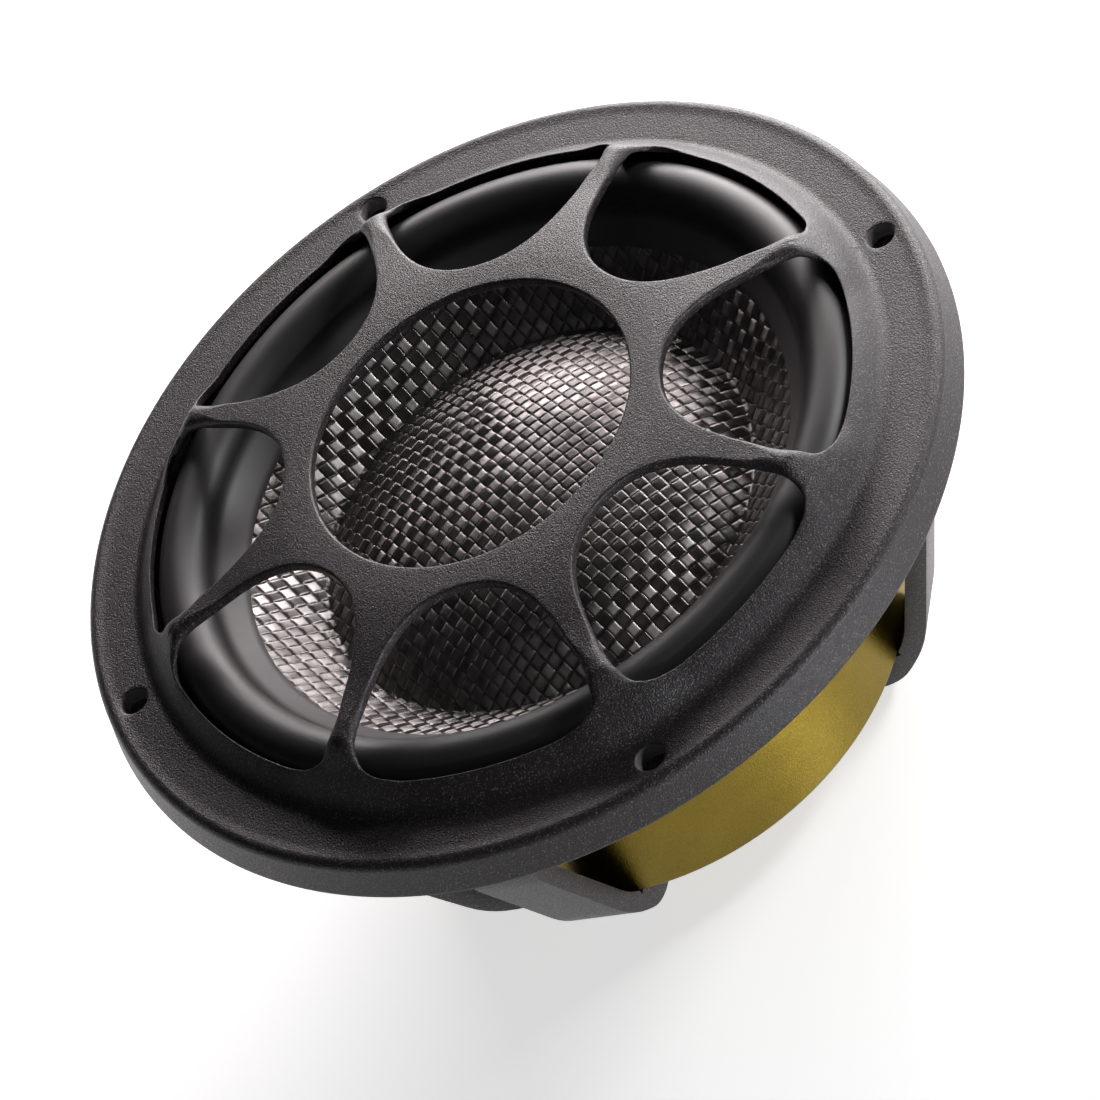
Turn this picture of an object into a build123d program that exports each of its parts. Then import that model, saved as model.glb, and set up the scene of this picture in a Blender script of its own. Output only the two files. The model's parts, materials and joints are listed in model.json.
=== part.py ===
from build123d import *
import os
from math import cos, hypot, pi, radians, sin, sqrt, tan

# A 6.5 inch car midwoofer, front face up (+Z). The mounting plane is the rear face of the flange, z = 0.
# All lengths are millimetres.

# ---- mounting
BOLT_R = 78.0            # radius of the circle of the four mounting holes
BOLT_HOLE_R = 2.6        # clearance hole for a 4 mm or 5 mm wood screw
BOLT_COUNT = 4
THROUGH = 40.0           # a cutter this long goes through any wall

# ---- front guard, one casting: rim, raised lip, eight arms and an open hub
RIM_BACK_R = 85.0        # the rim flares out a little towards the back
RIM_FRONT_R = 83.75
RIM_BEAD_R = 1.85        # rounded front edge of the rim
RIM_TOP_Z = 7.5
BAND_Z = 7.0             # flat band that carries the mounting holes
SKIRT_IN_R = 82.3
BAND_UNDER_Z = 3.9
LIP_FOOT_R = 73.9
HUB_HOLE_R = 31.0
ARMS = 8
# height of the guard's front surface above the mounting plane, from the hub out to the foot of the lip
WEB_TOP = [
    (31.0, 21.6), (37.0, 21.4), (45.0, 20.5), (53.0, 19.0), (58.0, 17.8), (62.0, 16.8),
    (65.0, 15.6), (67.0, 13.5), (68.6, 11.6), (70.2, 10.2), (71.6, 8.75), (72.8, 7.5), (73.9, 7.0),
]
WEB_THICK = 2.0
# one half of a window in plan: round the hub, along the arm to its waist, then round the outer corner
WINDOW_ARM = [(36.6, 0.0), (36.6, 10.5), (44.5, 16.3), (56.5, 21.0)]
WINDOW_CORNER = [(56.5, 21.0), (60.7, 22.6), (64.755, 23.31), (66.2, 17.985)]
GUARD_SCREWS = 4
GUARD_SCREW_R = 79.0
GUARD_SCREW_START = 45.0
GUARD_SCREW_SHANK_R = 1.25
GUARD_SCREW_HOLE_Z = 5.6  # the guard's screw holes are blind and end at this height
GUARD_SCREW_HEAD_H = 1.5
GUARD_SCREW_LENGTH = 3.9
GUARD_SCREW_HEX_R = 1.1
GUARD_SCREW_CLEAR_R = 1.6
GUARD_SCREW_HEAD_R = 2.1
GUARD_SCREW_SINK = 1.6   # the heads are sunk this deep in the flange's back
RIM_EDGE = 0.3           # small break on the rim's rear corner
RIM_RAMP_R = 80.3        # the flat band rises into the bead from here
HUB_UNDER_Z = 5.5        # the guard's underside just inside the chassis ledge
LEDGE_GAP = 0.5          # between the ledge's side and the guard's step

# ---- chassis, one casting: flange ring, six legs in three pairs, rear ring
FLANGE_R = 81.9
FLANGE_T = 3.5
LEDGE_R = 71.6           # the ledge that carries the surround's foot
LEDGE_Z = 4.9
FLANGE_IN_R = 67.6
FLANGE_BEVEL_R = 69.0    # the flange's rear inner corner is cut off from here
FLANGE_BEVEL_Z = 1.2     # up to here
LEG_PAIRS = (-135.0, -15.0, 105.0)   # centre line of each pair of legs, degrees
LEG_SPREAD = 15.0        # each leg's angle from its pair's centre line
LEG_W = 13.0
LEG_T = 3.8
LEG_OUT_R = 72.4         # the legs pass through a cut-out of 73 mm radius
LEG_TOP_Z = 1.0
LEG_KNEE_Z = -16.0       # the legs turn inward here
LEG_HEEL = (57.0, -52.5)  # and here they turn under the motor
LEG_TOE_R = 47.5         # from here the hooks lie flat
LEG_END_R = 38.0
LEG_INNER_KNEE_Z = -15.3
LEG_INNER_HEEL = (53.3, -51.2)
LEG_INNER_TOE_R = 46.5
# bend radius at each of the leg outline's corners
LEG_BENDS = [(1, 30.0), (2, 38.0), (3, 12.0), (6, 7.0), (7, 26.0), (8, 24.0)]
CAST_CLEAR = 0.15        # the casting stays this clear of the cup and the screw heads
REAR_Z = -63.0           # back of the chassis, what the speaker rests on
REAR_RING_T = 5.0
REAR_RING_IN_R = 22.0
REAR_RING_OUT_R = 41.5

GASKET_IN_R = 73.0
GASKET_OUT_R = 75.2
GASKET_T = 1.5
BRIDGE_T = 2.6           # small bridge between the two rear legs that carries the terminal board
BRIDGE_W = 27.0
BRIDGE_H = 6.0
BRIDGE_Z = -8.0
BRIDGE_RIVET = 7.0       # each bridge rivet's distance from the board's centre line
BRIDGE_RIVET_HOLE_R = 1.1

# ---- motor
CUP_R = 51.45
CUP_BACK_Z = -54.1
CUP_FRONT_Z = -20.0
CUP_WALL = 6.0
CUP_EDGE = 0.8           # chamfer on the cup's corners
BOSS_R = 43.0            # raised centre of the cup's back that sits on the rear ring
CUP_FLOOR = 8.0
FLOOR_Z = CUP_BACK_Z + CUP_FLOOR
POLE_SEAT_R = CUP_R - CUP_WALL + 1.4
PLUG_R = 21.7            # the boss goes on through the rear ring as a plug
PLUG_BACK_Z = -62.4
SCREEN_R = 11.5
SCREEN_T = 1.4           # the vent screen lies in a pocket of the plug
VENT_BACK_Z = PLUG_BACK_Z + SCREEN_T
VENT_R = 8.0
SLEEVE_R = VENT_R + 1.0
SLEEVE_WALL = 1.2
SLEEVE_HEAD_T = 2.0
SLEEVE_FLARE = 3.0       # the vent widens over this depth at its front
SCREEN_RIM = 2.5
SCREEN_PITCH = 2.0       # distance from wire to wire
SCREEN_WIRE = 0.5
POLE_RING_T = 8.0
GAP_OUT_R = 39.9
POLE_R = 36.9
POLE_T = 8.0
POLE_EDGE = 0.5
MAGNET_R = 34.0
MAGNET_T = 14.0
MAGNET_TOP_Z = FLOOR_Z + MAGNET_T
NEO_R = 33.0
NEO_IN_R = 14.0
NEO_T = 4.0
SHORT_R = 36.5
MOTOR_SCREW_R = 33.0
MOTOR_SCREWS = 6
MOTOR_SCREW_START = 30.0
MOTOR_SCREW_SINK = 3.4   # the heads are sunk this deep in the rear ring
MOTOR_SCREW_CLEAR_R = 2.7
MOTOR_SCREW_SINK_R = 4.6
MOTOR_SCREW_HOLE_R = 2.5
MOTOR_SCREW_HOLE_T = 6.2
MOTOR_SCREW_HEAD_R = 4.2
MOTOR_SCREW_HEAD_H = 3.0
MOTOR_SCREW_SHANK_R = 2.45
MOTOR_SCREW_LENGTH = 7.5
MOTOR_SCREW_HEX_R = 2.3

# ---- moving parts
COIL_R = 38.1            # inner radius of the 3 inch voice coil former
FORMER_T = 0.25
WIRE_T = 0.85
COIL_LOW_Z = -31.0
COIL_HIGH_Z = -17.0
FORMER_TAIL = 0.6        # the former reaches this far past the winding
CONE_T = 0.8
CONE_WALL = 0.96         # the pressing is thicker outside the dome
VALLEY_R = 42.0
VALLEY_Z = -7.5
VALLEY_BLEND = 1.6       # the valley is rounded this far to each side
VALLEY_RISE = 0.75
VALLEY_WALL = 0.92
CONE_R = 57.4            # outer edge of the cone, under the surround's flap
CONE_SLOPE = 41.0        # degrees
DOME_SPHERE_R = 68.0
FLAP_IN_R = 53.1
ROLL_R = 63.1            # centre line radius of the surround's half roll
ROLL_TUBE_R = 5.2
ROLL_Z = 7.0
ROLL_T = 0.7
FLAP_GAP = 0.05          # glue line between the flap and the cone
SPIDER_Z = -12.6
SPIDER_OUT_R = 50.4
SPIDER_RING_IN_R = 46.6
SPIDER_RING_STEP = 0.9   # the ring's outside is this far inside the cup's
SPIDER_FLAT_IN = 1.4     # plain width glued at the collar
SPIDER_FLAT_OUT = 4.2    # plain width glued on the ring
SPIDER_WAVES = 4
SPIDER_T = 0.5
SPIDER_WAVE = 0.95       # height of a corrugation
COLLAR_T = 0.5
COLLAR_BELOW = 1.6       # how far the collar reaches below and above the spider
COLLAR_ABOVE = 2.2
COUPLER_W = 1.6
COUPLER_H = 2.2
COUPLER_EDGE = 0.9

# ---- terminals
BOARD_R = 67.0           # the board's middle plane from the axis
BOARD_T = 1.6
BOARD_W = 22.0
BOARD_H = 19.0
BOARD_Z = -14.6
TAB_SPACING = 6.0
TAB_T = 0.8
TAB_RIVET = 3.0          # the tabs' rivets sit this far below the board's middle
TAB_RIVET_HOLE_R = 1.25
TAB_FOOT_H = 7.0
TAB_BLADE_H = 9.0
TAB_HOLE_R = 0.8
TAB_HOLE_DROP = 12.4     # from the top of a tab down to the hole in its blade
POSITIVE_W = 6.3
NEGATIVE_W = 4.8
RIVET_R = 1.05
RIVET_HEAD_R = 2.0
RIVET_HEAD_T = 0.8
LEAD_R = 0.5
LEAD_HOLE_R = 0.9
LEAD_UP = 2.0            # the leads reach the board this far above its middle
COLLAR_CLEAR = 0.12      # the leads start just outside the collar
BEND_SHARE = 0.45        # share of a run that its bend may take
# the leads' route between collar and board, radius and height
LEAD_RUN = [(44.8, -9.8), (50.6, -5.8), (57.6, -5.2), (61.0, -10.6)]
LEAD_START_Z = -9.7


def tube(r_in, r_out, z_low, z_high):
    """A plain ring between two radii and two heights."""
    ring = Cylinder(r_out, z_high - z_low, align=(Align.CENTER, Align.CENTER, Align.MIN))
    if r_in > 0:
        ring -= Cylinder(r_in, z_high - z_low, align=(Align.CENTER, Align.CENTER, Align.MIN))
    return Pos(0, 0, z_low) * ring


def spin(edges):
    """A solid of revolution about Z from a closed loop of edges drawn in the XZ plane."""
    face = make_face(edges)
    return revolve(face, axis=Axis.Z)


def xz(r, z):
    return Vector(r, 0, z)


def loop(points):
    """Straight edges through a closed list of (radius, height) points."""
    return Polyline(*[xz(r, z) for r, z in points], close=True)


def spaced(count, start=0.0):
    return [start + 360.0 / count * i for i in range(count)]


def at(angle, r, z=0.0):
    """A frame at this angle and radius whose X axis points outward."""
    return Rot(0, 0, angle) * Pos(r, 0, z)


def lower(points, drop):
    return [(r, z - drop) for r, z in points]


def window():
    """One window of the guard, drawn in plan on the +X axis and cut straight through."""
    end_x, end_y = WINDOW_CORNER[-1]
    outer_r = hypot(end_x, end_y)
    face = make_face([
        Bezier(*WINDOW_ARM),
        Bezier(*WINDOW_CORNER),
        ThreePointArc(WINDOW_CORNER[-1], (outer_r, 0), (end_x, -end_y)),
        Bezier(*[(x, -y) for x, y in reversed(WINDOW_CORNER)]),
        Bezier(*[(x, -y) for x, y in reversed(WINDOW_ARM)]),
    ])
    return Pos(0, 0, BAND_UNDER_Z) * extrude(face, THROUGH)


def guard_section():
    """The casting's half section, from the hub out to the rim."""
    core_z = RIM_TOP_Z - RIM_BEAD_R
    core_r = RIM_FRONT_R - RIM_BEAD_R
    bead_mid = xz(core_r + RIM_BEAD_R * cos(pi / 4), core_z + RIM_BEAD_R * sin(pi / 4))
    under = lower(WEB_TOP[:-2], WEB_THICK)
    step_r = LEDGE_R + LEDGE_GAP
    rim = Polyline(
        xz(RIM_FRONT_R, core_z), xz(RIM_BACK_R, RIM_EDGE), xz(RIM_BACK_R - RIM_EDGE, 0), xz(SKIRT_IN_R, 0),
        xz(SKIRT_IN_R, BAND_UNDER_Z), xz(step_r, BAND_UNDER_Z), xz(step_r, HUB_UNDER_Z), xz(*under[-1]),
    )
    return [
        Spline(*[xz(r, z) for r, z in WEB_TOP]),
        Polyline(xz(LIP_FOOT_R, BAND_Z), xz(RIM_RAMP_R, BAND_Z), xz(core_r, RIM_TOP_Z)),
        ThreePointArc(xz(core_r, RIM_TOP_Z), bead_mid, xz(RIM_FRONT_R, core_z)),
        rim,
        Spline(*[xz(r, z) for r, z in reversed(under)]),
        Line(xz(*under[0]), xz(*WEB_TOP[0])),
    ]


def guard():
    """The front guard casting."""
    body = spin(guard_section())
    for angle in spaced(ARMS, 180.0 / ARMS):
        body -= Rot(0, 0, angle) * window()
    for angle in spaced(BOLT_COUNT):
        body -= at(angle, BOLT_R) * Cylinder(BOLT_HOLE_R, THROUGH)
    for angle in spaced(GUARD_SCREWS, GUARD_SCREW_START):
        body -= at(angle, GUARD_SCREW_R) * Cylinder(GUARD_SCREW_SHANK_R, 2 * GUARD_SCREW_HOLE_Z)
    return body


def leg(angle):
    """One flat leg: straight down from the flange, inward along the cup, then hooked under it."""
    hook_z = REAR_Z + REAR_RING_T
    inner_r = LEG_OUT_R - LEG_T
    outline = [
        (LEG_OUT_R, LEG_TOP_Z), (LEG_OUT_R, LEG_KNEE_Z), LEG_HEEL, (LEG_TOE_R, REAR_Z), (LEG_END_R, REAR_Z),
        (LEG_END_R, hook_z), (LEG_INNER_TOE_R, hook_z), LEG_INNER_HEEL, (inner_r, LEG_INNER_KNEE_Z),
        (inner_r, LEG_TOP_Z),
    ]
    band = extrude(make_face(loop(outline)), LEG_W / 2, dir=(0, 1, 0), both=True)
    for index, bend_r in LEG_BENDS:
        r, z = outline[index]
        corner = [
            edge for edge in band.edges().filter_by(Axis.Y)
            if abs(edge.center().X - r) < 0.01 and abs(edge.center().Z - z) < 0.01
        ]
        band = fillet(corner, bend_r)
    return Rot(0, 0, angle) * band


def leg_angles():
    return [pair + side for pair in LEG_PAIRS for side in (-LEG_SPREAD, LEG_SPREAD)]


def chassis():
    """Flange ring, six legs and the rear ring that carries the motor."""
    flange = spin(loop([
        (FLANGE_IN_R, FLANGE_BEVEL_Z), (FLANGE_IN_R, LEDGE_Z), (LEDGE_R, LEDGE_Z), (LEDGE_R, FLANGE_T),
        (FLANGE_R, FLANGE_T), (FLANGE_R, 0.0), (FLANGE_BEVEL_R, 0.0),
    ]))
    body = flange + tube(REAR_RING_IN_R, REAR_RING_OUT_R, REAR_Z, REAR_Z + REAR_RING_T)
    for angle in leg_angles():
        body += leg(angle)
    body += board_frame(0, BRIDGE_T / 2 + BOARD_T / 2, BRIDGE_Z) * Box(BRIDGE_T, BRIDGE_W, BRIDGE_H)
    for side in (-1, 1):
        body -= cross_hole(side * BRIDGE_RIVET, BRIDGE_Z, BRIDGE_RIVET_HOLE_R)
    # groove for the sealing ring in the flange's back
    body -= tube(GASKET_IN_R, GASKET_OUT_R, -1, GASKET_T)
    # the hooks and the ring stay a little clear of the motor cup
    body -= tube(0, CUP_R + CAST_CLEAR, CUP_BACK_Z - 2 * CAST_CLEAR, CUP_FRONT_Z + 2)
    body -= tube(0, BOSS_R + CAST_CLEAR, REAR_Z + REAR_RING_T, CUP_BACK_Z)
    for angle in spaced(BOLT_COUNT):
        body -= at(angle, BOLT_R) * Cylinder(BOLT_HOLE_R, THROUGH)
    for angle in spaced(GUARD_SCREWS, GUARD_SCREW_START):
        body -= at(angle, GUARD_SCREW_R) * Cylinder(GUARD_SCREW_CLEAR_R, THROUGH / 2)
        body -= at(angle, GUARD_SCREW_R) * Cylinder(GUARD_SCREW_HEAD_R + CAST_CLEAR, 2 * GUARD_SCREW_SINK)
    for angle in spaced(MOTOR_SCREWS, MOTOR_SCREW_START):
        body -= at(angle, MOTOR_SCREW_R, REAR_Z) * Cylinder(MOTOR_SCREW_CLEAR_R, THROUGH / 2)
        body -= at(angle, MOTOR_SCREW_R, REAR_Z) * Cylinder(MOTOR_SCREW_SINK_R, 2 * MOTOR_SCREW_SINK)
    return body


def gasket():
    """Foam ring that seals the flange against the door panel."""
    return tube(GASKET_IN_R + 0.1, GASKET_OUT_R - 0.1, 0, GASKET_T)


def screw(head_r, head_h, shank_r, length, hex_r):
    """A screw pointing up +Z with its head below; the head's underside is at z = 0."""
    body = Pos(0, 0, -head_h) * tube(0, head_r, 0, head_h) + tube(0, shank_r, 0, length)
    body = body - Pos(0, 0, -head_h) * extrude(RegularPolygon(hex_r, 6), 0.6 * head_h)
    return body


def guard_screws():
    """Four screws that hold the guard to the flange from behind."""
    one = screw(
        GUARD_SCREW_HEAD_R, GUARD_SCREW_HEAD_H, GUARD_SCREW_SHANK_R, GUARD_SCREW_LENGTH, GUARD_SCREW_HEX_R,
    )
    angles = spaced(GUARD_SCREWS, GUARD_SCREW_START)
    return [at(angle, GUARD_SCREW_R, GUARD_SCREW_SINK) * one for angle in angles]


def motor_screws():
    """Screws through the rear ring into the floor of the motor cup."""
    one = screw(
        MOTOR_SCREW_HEAD_R, MOTOR_SCREW_HEAD_H, MOTOR_SCREW_SHANK_R, MOTOR_SCREW_LENGTH, MOTOR_SCREW_HEX_R,
    )
    seat_z = REAR_Z + MOTOR_SCREW_SINK
    return [at(angle, MOTOR_SCREW_R, seat_z) * one for angle in spaced(MOTOR_SCREWS, MOTOR_SCREW_START)]


def motor_cup():
    """The steel cup that closes the magnetic circuit."""
    back = REAR_Z + REAR_RING_T
    seat_z = CUP_FRONT_Z - POLE_RING_T
    bore_r = CUP_R - CUP_WALL
    body = spin(loop([
        (VENT_R, VENT_BACK_Z), (SCREEN_R, VENT_BACK_Z), (SCREEN_R, PLUG_BACK_Z), (PLUG_R, PLUG_BACK_Z),
        (PLUG_R, back), (BOSS_R, back), (BOSS_R, CUP_BACK_Z), (CUP_R - CUP_EDGE, CUP_BACK_Z),
        (CUP_R, CUP_BACK_Z + CUP_EDGE), (CUP_R, CUP_FRONT_Z - CUP_EDGE), (CUP_R - CUP_EDGE, CUP_FRONT_Z),
        (POLE_SEAT_R, CUP_FRONT_Z), (POLE_SEAT_R, seat_z), (bore_r, seat_z), (bore_r, FLOOR_Z),
        (VENT_R, FLOOR_Z),
    ]))
    for angle in spaced(MOTOR_SCREWS, MOTOR_SCREW_START):
        body -= at(angle, MOTOR_SCREW_R, back) * Cylinder(MOTOR_SCREW_HOLE_R, 2 * MOTOR_SCREW_HOLE_T)
    return body


def pole_ring():
    """Outer pole, a steel ring pressed into the cup's mouth round the voice coil gap."""
    return tube(GAP_OUT_R, POLE_SEAT_R, CUP_FRONT_Z - POLE_RING_T, CUP_FRONT_Z)


def ferrite_magnet():
    """The main magnet, a ring on the cup's floor."""
    return tube(SLEEVE_R, MAGNET_R, FLOOR_Z, MAGNET_TOP_Z)


def shorting_ring():
    """Aluminium ring round the pole that steadies the gap's field."""
    return tube(MAGNET_R, SHORT_R, FLOOR_Z, CUP_FRONT_Z - POLE_T)


def pole_plate():
    """Inner pole, a steel disc the voice coil runs round."""
    return spin(loop([
        (SLEEVE_R, MAGNET_TOP_Z), (MAGNET_R, MAGNET_TOP_Z), (MAGNET_R, CUP_FRONT_Z - POLE_T),
        (POLE_R, CUP_FRONT_Z - POLE_T), (POLE_R, CUP_FRONT_Z - POLE_EDGE), (POLE_R - POLE_EDGE, CUP_FRONT_Z),
        (SLEEVE_R, CUP_FRONT_Z),
    ]))


def neo_magnet():
    """The second magnet of the hybrid stack sits on top of the inner pole."""
    return tube(NEO_IN_R, NEO_R, CUP_FRONT_Z, CUP_FRONT_Z + NEO_T)


def core_sleeve():
    """Brass sleeve through the stack: it centres the magnets and vents the air under the dome."""
    top = CUP_FRONT_Z + NEO_T
    bore_r = VENT_R - SLEEVE_WALL
    return spin(loop([
        (bore_r, VENT_BACK_Z), (VENT_R, VENT_BACK_Z), (VENT_R, FLOOR_Z),
        (SLEEVE_R, FLOOR_Z), (SLEEVE_R, CUP_FRONT_Z), (NEO_IN_R, CUP_FRONT_Z),
        (NEO_IN_R, top), (NEO_IN_R - SLEEVE_HEAD_T, top), (bore_r, top - SLEEVE_FLARE),
    ]))


def vent_screen():
    """Fine steel mesh that keeps dirt out of the vent, held in a rim at the back of the cup."""
    rim = tube(SCREEN_R - SCREEN_RIM, SCREEN_R, PLUG_BACK_Z, VENT_BACK_Z)
    mesh_z = VENT_BACK_Z - SCREEN_WIRE
    reach = SCREEN_R - SCREEN_RIM + 0.4
    wires = []
    for i in range(-4, 5):
        across = SCREEN_PITCH * i
        length = 2 * sqrt(reach ** 2 - across ** 2)
        wires.append(Pos(0, across, mesh_z) * Box(length, SCREEN_WIRE, 0.4))
        wires.append(Pos(across, 0, mesh_z) * Box(SCREEN_WIRE, length, 0.4))
    for wire in wires:
        rim += wire
    return rim


def spider_ring():
    """Plastic ring on the cup's mouth that carries the spider."""
    return tube(SPIDER_RING_IN_R, CUP_R - SPIDER_RING_STEP, CUP_FRONT_Z, SPIDER_Z)


def dome_z(r):
    """Height of the dome's front surface at a radius."""
    centre = VALLEY_Z - sqrt(DOME_SPHERE_R ** 2 - VALLEY_R ** 2)
    return centre + sqrt(DOME_SPHERE_R ** 2 - r * r)


def dome_slope(r):
    """How fast the dome falls away at a radius."""
    return r / sqrt(DOME_SPHERE_R ** 2 - r * r)


def cone_z(r):
    """Height of the cone's front surface outside the valley."""
    return VALLEY_Z + (r - VALLEY_R) * tan(radians(CONE_SLOPE))


def cone():
    """The woven carbon cone and its dome are one pressing."""
    inside = VALLEY_R - VALLEY_BLEND
    outside = VALLEY_R + VALLEY_BLEND
    low = VALLEY_Z + VALLEY_RISE
    steps = [inside * i / 6 for i in range(7)]
    front = [xz(r, dome_z(r)) for r in steps]
    back = [xz(r, dome_z(r) - CONE_T * (1 + 0.2 * (r / inside) ** 2)) for r in reversed(steps)]
    edges = [
        Spline(*front, tangents=[Vector(1, 0, 0), Vector(1, 0, -dome_slope(inside))]),
        ThreePointArc(xz(inside, dome_z(inside)), xz(VALLEY_R, low), xz(outside, cone_z(outside))),
        Line(xz(outside, cone_z(outside)), xz(CONE_R, cone_z(CONE_R))),
        Line(xz(CONE_R, cone_z(CONE_R)), xz(CONE_R, cone_z(CONE_R) - CONE_WALL)),
        Line(xz(CONE_R, cone_z(CONE_R) - CONE_WALL), xz(outside, cone_z(outside) - CONE_WALL)),
        ThreePointArc(
            xz(outside, cone_z(outside) - CONE_WALL), xz(VALLEY_R, low - VALLEY_WALL),
            xz(inside, dome_z(inside) - CONE_WALL),
        ),
        Spline(*back, tangents=[Vector(-1, 0, dome_slope(inside)), Vector(-1, 0, 0)]),
        Line(xz(0, dome_z(0) - CONE_T), xz(0, dome_z(0))),
    ]
    return spin(edges)


def former_top():
    return dome_z(COIL_R + FORMER_T) - CONE_T * 1.3


def former():
    """Thin aluminium tube that carries the voice coil."""
    return tube(COIL_R, COIL_R + FORMER_T, COIL_LOW_Z - FORMER_TAIL, former_top())


def winding():
    """Two layers of flat wire on the former."""
    return tube(COIL_R + FORMER_T, COIL_R + FORMER_T + WIRE_T, COIL_LOW_Z, COIL_HIGH_Z)


def coupler():
    """Glue ring between the former and the underside of the pressing."""
    out_r = COIL_R + FORMER_T + COUPLER_W
    base = former_top() - COUPLER_H
    top_in = dome_z(COIL_R + FORMER_T) - CONE_T * 1.35
    top_out = dome_z(out_r) - CONE_T * 1.35
    return spin(loop([
        (COIL_R + FORMER_T, base), (out_r - COUPLER_EDGE, base), (out_r, base + COUPLER_EDGE),
        (out_r, top_out), (COIL_R + FORMER_T, top_in),
    ]))


def collar():
    """Paper collar round the former where the spider is glued."""
    inner_r = COIL_R + FORMER_T
    return tube(inner_r, inner_r + COLLAR_T, SPIDER_Z - COLLAR_BELOW, SPIDER_Z + COLLAR_ABOVE)


def surround():
    """Rubber surround: flap on the cone, half roll, foot on the chassis ledge."""
    inner_r = ROLL_R - ROLL_TUBE_R
    outer_r = ROLL_R + ROLL_TUBE_R
    flap_in_z = cone_z(FLAP_IN_R) + FLAP_GAP
    flap_out_z = cone_z(inner_r - 0.6) + FLAP_GAP
    thick = ROLL_T
    small = ROLL_TUBE_R - thick
    edges = [
        Line(xz(FLAP_IN_R, flap_in_z), xz(FLAP_IN_R, flap_in_z + thick)),
        Line(xz(FLAP_IN_R, flap_in_z + thick), xz(inner_r, ROLL_Z)),
        ThreePointArc(xz(inner_r, ROLL_Z), xz(ROLL_R, ROLL_Z + ROLL_TUBE_R), xz(outer_r, ROLL_Z)),
        Line(xz(outer_r, ROLL_Z), xz(outer_r + 0.3, LEDGE_Z + thick + 0.2)),
        Line(xz(outer_r + 0.3, LEDGE_Z + thick + 0.2), xz(LEDGE_R - 1.2, LEDGE_Z + thick)),
        Line(xz(LEDGE_R - 1.2, LEDGE_Z + thick), xz(LEDGE_R - 1.2, LEDGE_Z)),
        Line(xz(LEDGE_R - 1.2, LEDGE_Z), xz(outer_r - thick, LEDGE_Z)),
        Line(xz(outer_r - thick, LEDGE_Z), xz(outer_r - thick, ROLL_Z)),
        ThreePointArc(
            xz(outer_r - thick, ROLL_Z), xz(ROLL_R, ROLL_Z + small), xz(inner_r + thick, ROLL_Z),
        ),
        Line(xz(inner_r + thick, ROLL_Z), xz(inner_r - 0.6, flap_out_z)),
        Line(xz(inner_r - 0.6, flap_out_z), xz(FLAP_IN_R, flap_in_z)),
    ]
    return spin(edges)


def spider():
    """Corrugated cloth spider between the former's collar and the spider ring."""
    r_start = COIL_R + FORMER_T + COLLAR_T
    flat_in = r_start + SPIDER_FLAT_IN
    flat_out = SPIDER_OUT_R - SPIDER_FLAT_OUT
    pitch = (flat_out - flat_in) / SPIDER_WAVES
    points = [(r_start, SPIDER_Z), (flat_in, SPIDER_Z)]
    for i in range(SPIDER_WAVES):
        side = SPIDER_WAVE * (1 - 2 * (i % 2))
        points.append((flat_in + (i + 0.5) * pitch, SPIDER_Z + side))
        points.append((flat_in + (i + 1.0) * pitch, SPIDER_Z))
    points.append((SPIDER_OUT_R, SPIDER_Z))
    top = [(r, z + SPIDER_T) for r, z in reversed(points)]
    return spin(loop(points + top))


def board_frame(x, y, z):
    """Position on the terminal board: across, outward, up; the board stands between one pair of legs."""
    return Rot(0, 0, LEG_PAIRS[2]) * Pos(BOARD_R + y, x, z)


def cross_hole(across, z, radius):
    """A cylinder that runs outward through the board."""
    return board_frame(across, 0, z) * Rot(0, 90, 0) * Cylinder(radius, 20)


def terminal_board():
    """Fibre board that hangs from the bridge between the two rear legs."""
    plate = board_frame(0, 0, BOARD_Z) * Box(BOARD_T, BOARD_W, BOARD_H)
    for side in (-1, 1):
        plate -= cross_hole(side * TAB_SPACING, BOARD_Z - TAB_RIVET, TAB_RIVET_HOLE_R)
        plate -= cross_hole(side * TAB_SPACING, BOARD_Z + LEAD_UP, LEAD_HOLE_R)
        plate -= cross_hole(side * BRIDGE_RIVET, BRIDGE_Z, BRIDGE_RIVET_HOLE_R)
    return plate


def board_rivet(across, z, reach):
    """A tubular rivet through the board with a head on each side."""
    inner_face = -BOARD_T / 2
    grip = reach - inner_face
    shank = board_frame(across, inner_face + grip / 2, z) * Rot(0, 90, 0) * Cylinder(RIVET_R, grip)
    head = Rot(0, 90, 0) * Cylinder(RIVET_HEAD_R, RIVET_HEAD_T)
    outer_head = board_frame(across, reach + RIVET_HEAD_T / 2, z) * head
    inner_head = board_frame(across, inner_face - RIVET_HEAD_T / 2, z) * head
    return shank + outer_head + inner_head


def terminal_rivets():
    """Rivets that clamp the two tabs to the board."""
    reach = BOARD_T / 2 + TAB_T
    return [board_rivet(side * TAB_SPACING, BOARD_Z - TAB_RIVET, reach) for side in (-1, 1)]


def bridge_rivets():
    """Rivets that hold the board to the chassis bridge."""
    reach = BOARD_T / 2 + BRIDGE_T
    return [board_rivet(side * BRIDGE_RIVET, BRIDGE_Z, reach) for side in (-1, 1)]


def terminal(side, width):
    """A quick connect tab: a foot under its rivet and a blade that points down."""
    middle = BOARD_T / 2 + TAB_T / 2
    foot_top = BOARD_Z - 0.2
    foot_z = foot_top - TAB_FOOT_H / 2
    foot = board_frame(side * TAB_SPACING, middle, foot_z) * Box(TAB_T, width + 1.2, TAB_FOOT_H)
    foot -= cross_hole(side * TAB_SPACING, BOARD_Z - TAB_RIVET, TAB_RIVET_HOLE_R)
    blade_z = foot_top - TAB_FOOT_H + 0.5 - TAB_BLADE_H / 2
    blade = board_frame(side * TAB_SPACING, middle, blade_z) * Box(TAB_T, width, TAB_BLADE_H)
    blade -= cross_hole(side * TAB_SPACING, foot_top - TAB_HOLE_DROP, TAB_HOLE_R)
    return foot + blade


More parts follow.
